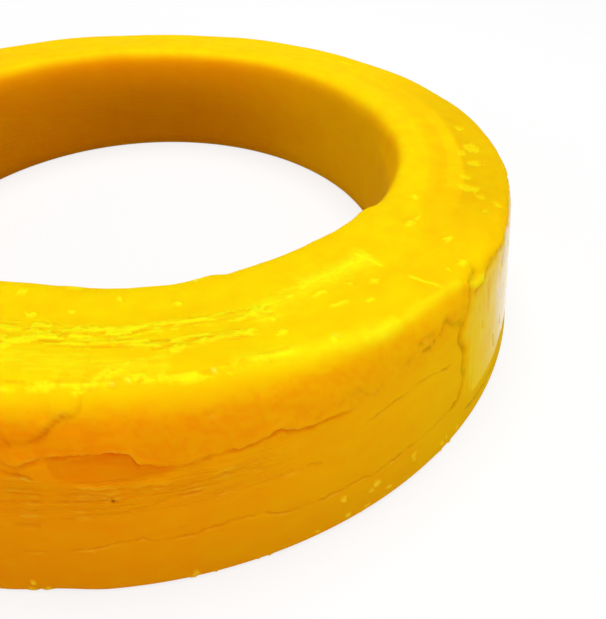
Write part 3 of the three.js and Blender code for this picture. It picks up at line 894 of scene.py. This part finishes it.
def add_marks_colour(colour, skin):
    """The torn patch painted darker as shade, pale wax and painted highlights, shaded creases, and the grease
    with its painted sheen and glare, over the plain colours.
    """
    # The torn patch is painted darker as the shade under the upper lap
    colour = blend_colour(colour, TORN_PATCH_SHADE_COLOUR, skin.torn_shade * 0.9)
    colour = blend_colour(colour, SLIVER_COLOUR, skin.sliver)
    # A painted highlight along the far rim of the hole
    far_rim = (skin.run == RIM) * bell(turn_from(95, skin.degrees), 85)
    rim_light = np.exp(-((skin.up - 0.9) / 0.06) ** 2) * far_rim
    pale_and_highlight = (skin.pale_and_highlight * 0.9 + rim_light * 0.3) * ease(skin.up, 0.4, 0.8)
    colour = blend_colour(colour, PALE_AND_HIGHLIGHT_COLOUR, pale_and_highlight)
    colour = blend_colour(colour, TIP_HIGHLIGHT_COLOUR, skin.tips * 0.8)
    colour = blend_colour(colour, LIP_HIGHLIGHT_COLOUR, skin.light * 0.4)
    turned = ease(skin.degrees, -82, -58)
    shade = blend_colour(np.array(LEFT_CREASE_SHADE) + 0 * colour, RIGHT_CREASE_SHADE, turned)
    colour = colour * (1 - np.clip(skin.dark, 0, 1.3)[..., None] * shade)
    colour = colour * (1 - skin.cleft[..., None] * CRACK_SHADE)
    colour = colour * (1 - np.clip(skin.shadow, 0, 1)[..., None] * SMEAR_SHADE)
    colour = blend_colour(colour, PIT_COLOUR, skin.pit * 2)
    # The painted sheen and glare of the grease on the right
    colour = blend_colour(colour, PAINTED_SHEEN_COLOUR, skin.greased * 0.8)
    # The flash along the foot, and the painted glints on the flecks
    colour = blend_colour(colour, FLASH_AND_GLINT_COLOUR, skin.flash_and_glints * 0.6)
    return blend_colour(colour, PAINTED_GLARE_COLOUR, skin.frost)


def skin_colour(skin):
    mottle = 0.5 * skin.noise(14, 9, 2, layer=10)
    # Painted light: the skin takes the top's colour where it faces up and the walls' colour where it faces
    # away, with a narrower change on the front right
    crisp_turn = ease(skin.degrees, -84, -72) * ease(-skin.degrees, 40, 50)
    lit = skin.up + 0.14 * mottle + 0.03 * skin.pressed
    top_share = ease(lit, 0.4 + 0.08 * crisp_turn, 1 - 0.06 * crisp_turn)
    colour = np.where((skin.run <= RIM)[..., None], bore_colour(skin), wall_colour(skin))
    colour = colour + (top_colour(skin) - colour) * top_share[..., None]
    colour = add_marks_colour(colour, skin)
    stains = skin.noise(4, 2.4, 3, layer=17)
    warmth = np.stack([0 * stains, 0.07 * mottle + 0.12 * stains + skin.tint, 0 * stains], axis=2)
    return colour * (1 + 0.04 * mottle[..., None] + warmth)


# The sheen on the right of the wall: drop and the angle where it starts, and its growth past there
SHEEN_START = [
    (2.5, -52.5), (4.3, -53.2), (6.7, -54), (8.3, -55), (11.4, -53.6), (15.7, -53.4), (19, -53), (21.4, -50),
]
SHEEN_GROWTH = [(0, 0), (1.5, 0.05), (4.5, 0.13), (6, 0.2), (7.5, 0.26), (10, 0.45), (13, 0.65), (18, 1)]
SHEEN_FOOT = 21.1


def right_sheen(skin):
    """Grease left on the right of the wall by a hand, which takes a sheen; its glare is painted into the
    colour, whiter where the sheen is full and yellower where it starts.
    """
    strokes = skin.noise(1, 8, 3, layer=11)
    ahead = skin.degrees - np.interp(skin.fall, *zip(*SHEEN_START)) + 3 * strokes
    jagged = skin.ragged_fall + 0.8 * skin.noise(1.4, 30, 2, layer=19)
    jagged = jagged - np.interp(skin.degrees, *zip(*RAGGED_EDGE))
    place = ease(-skin.degrees, 5, 20) * ease(jagged, 0.1, 0.5) * ease(SHEEN_FOOT - skin.ragged_fall, 0, 0.8)
    place = place * (1 - np.clip(skin.dark + skin.cleft + skin.sliver, 0, 1)) * skin.outside
    # Painted glare, whiter where the sheen is full, and painted sheen, yellower from where it starts
    frost = 0.28 * ease(ahead, 9.5, 13.5) * ease(strokes, -0.3, 0) * place
    return np.interp(ahead, *zip(*SHEEN_GROWTH)) * place, frost, ease(ahead, -0.5, 2) * place


def add_point_layer(mesh, name, values):
    layer = mesh.attributes.new(name, "FLOAT", "POINT")
    layer.data.foreach_set("value", np.clip(values, 0, 1).reshape(-1))


def ring_mesh():
    skin = Skin()
    skin.add_marks()
    sheen, skin.frost, skin.greased = right_sheen(skin)
    count, rows = skin.radius.shape
    index = np.arange(count * rows).reshape(count, rows)
    ahead = np.roll(index, -1, axis=0)
    faces = np.stack([index, ahead, np.roll(ahead, -1, axis=1), np.roll(index, -1, axis=1)], axis=2)
    mesh = bpy.data.meshes.new("wax_ring_skin")
    mesh.from_pydata(skin.points().reshape(-1, 3).tolist(), [], faces.reshape(-1, 4).tolist())
    mesh.polygons.foreach_set("use_smooth", np.ones(len(mesh.polygons), dtype=bool))
    colour = np.concatenate([skin_colour(skin), np.ones((count, rows, 1))], axis=2)
    layer = mesh.color_attributes.new("tone", "FLOAT_COLOR", "POINT")
    layer.data.foreach_set("color", colour.reshape(-1))
    place = np.stack([skin.turn * FOOT_RADIUS, skin.fall, skin.fall * 0], axis=2)
    layer = mesh.attributes.new("place", "FLOAT_VECTOR", "POINT")
    layer.data.foreach_set("vector", place.reshape(-1))
    add_point_layer(mesh, "film", sheen)
    add_point_layer(mesh, "smear", skin.smear)
    add_point_layer(mesh, "streaks", skin.streaks)
    return mesh


class Nodes:
    """Adds nodes to a material and links them."""

    def __init__(self, tree):
        self.tree = tree

    def add(self, kind, links=(), **values):
        node = self.tree.nodes.new("ShaderNode" + kind)
        for name, value in values.items():
            setattr(node, name, value)
        for socket, source in dict(links).items():
            self.feed(node.inputs[socket], source)
        return node

    def feed(self, socket, source):
        if isinstance(source, bpy.types.NodeSocket):
            self.tree.links.new(source, socket)
        else:
            socket.default_value = source

    def layer(self, name, output="Fac"):
        return self.add("Attribute", attribute_name=name).outputs[output]

    def stretched(self, vector, scale):
        return self.add("Mapping", {"Vector": vector, "Scale": scale}).outputs["Vector"]

    def noise(self, vector, scale, detail, roughness, distortion=0):
        return self.add("TexNoise", {"Vector": vector, "Scale": scale, "Detail": detail, "Roughness": roughness,
                                     "Distortion": distortion}).outputs["Fac"]

    def spread(self, value, start, end, low, high):
        return self.add("MapRange", {"Value": value, "From Min": start, "From Max": end, "To Min": low,
                                     "To Max": high}).outputs["Result"]

    def product(self, a, b):
        return self.add("Math", {0: a, 1: b}, operation="MULTIPLY").outputs["Value"]

    def tinted(self, under, over, share):
        links = {"Factor": share, "A": under, "B": (*over, 1)}
        return self.add("Mix", links, data_type="RGBA").outputs["Result"]

    def bumps(self, layers):
        """Bumps laid over each other: height, strength, and distance in metres."""
        normal = None
        for height, strength, distance in layers:
            links = {"Height": height, "Strength": strength, "Distance": distance}
            if normal:
                links["Normal"] = normal
            normal = self.add("Bump", links).outputs["Normal"]
        return normal


# A soft body that light enters a little way, with a coat where it is greased
WAX_SHADER = {
    "Specular IOR Level": 0.006,
    "Subsurface Weight": 0.4,
    "Subsurface Radius": (1, 0.4, 0.04),
    "Subsurface Scale": 0.0012,
    "Coat Roughness": 0.1,
    "Coat IOR": 1.7,
}
# How the drawn lines and the crumbs of the smears stretch along and across the ring
LINE_STRETCH = (0.07, 2.2, 1)
CRUMB_STRETCH = (0.28, 1.9, 1)


def wax_material():
    material = bpy.data.materials.new("amber_wax")
    material.use_nodes = True
    nodes = Nodes(material.node_tree)
    shader = material.node_tree.nodes["Principled BSDF"]
    film, smear, streaks = (nodes.layer(name) for name in ("film", "smear", "streaks"))
    place = nodes.add("TexCoord").outputs["Object"]
    skin = nodes.layer("place", "Vector")
    grain = nodes.noise(place, 900, 3, 0.6)
    patches = nodes.noise(place, 160, 4, 0.65)
    lines = nodes.noise(nodes.stretched(skin, LINE_STRETCH), 1, 2, 0.55)
    crumbs = nodes.noise(nodes.stretched(skin, CRUMB_STRETCH), 1, 3, 0.6, 0.6)
    normal = nodes.bumps([
        (grain, 0.12, 0.0002), (patches, 0.2, 0.0006), (crumbs, smear, 0.0003), (lines, streaks, 0.0004),
    ])
    # Painted shade in the hollows between the crumbs of the smears, and painted glints on their tops
    crumb_shade = nodes.product(nodes.spread(crumbs, 0.46, 0.38, 0, 0.4), smear)
    crumb_glints = nodes.product(nodes.spread(crumbs, 0.54, 0.61, 0, 0.8), smear)
    shaded = nodes.tinted(nodes.layer("tone", "Color"), CRUMB_SHADE_COLOUR, crumb_shade)
    links = {
        "Base Color": nodes.tinted(shaded, PALE_AND_HIGHLIGHT_COLOUR, crumb_glints),
        "Coat Weight": film,
        "Roughness": nodes.spread(patches, 0.3, 0.7, 0.5, 0.72),
        "Normal": normal,
        "Coat Normal": normal,
    }
    for name, value in {**WAX_SHADER, **links}.items():
        nodes.feed(shader.inputs[name], value)
    return material


add_camera()
add_floor(FLOOR_SIZE, FLOOR_WHITE_SHARE)
set_world(SKY_FILL)
for lamp in LAMPS:
    add_area_light(*lamp)
bpy.context.scene.view_settings.view_transform = "Standard"

ring = bpy.data.objects.new("wax_ring_skin", ring_mesh())
bpy.context.collection.objects.link(ring)
ring.data.materials.append(wax_material())
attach(ring, "root")
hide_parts("wax_ring")
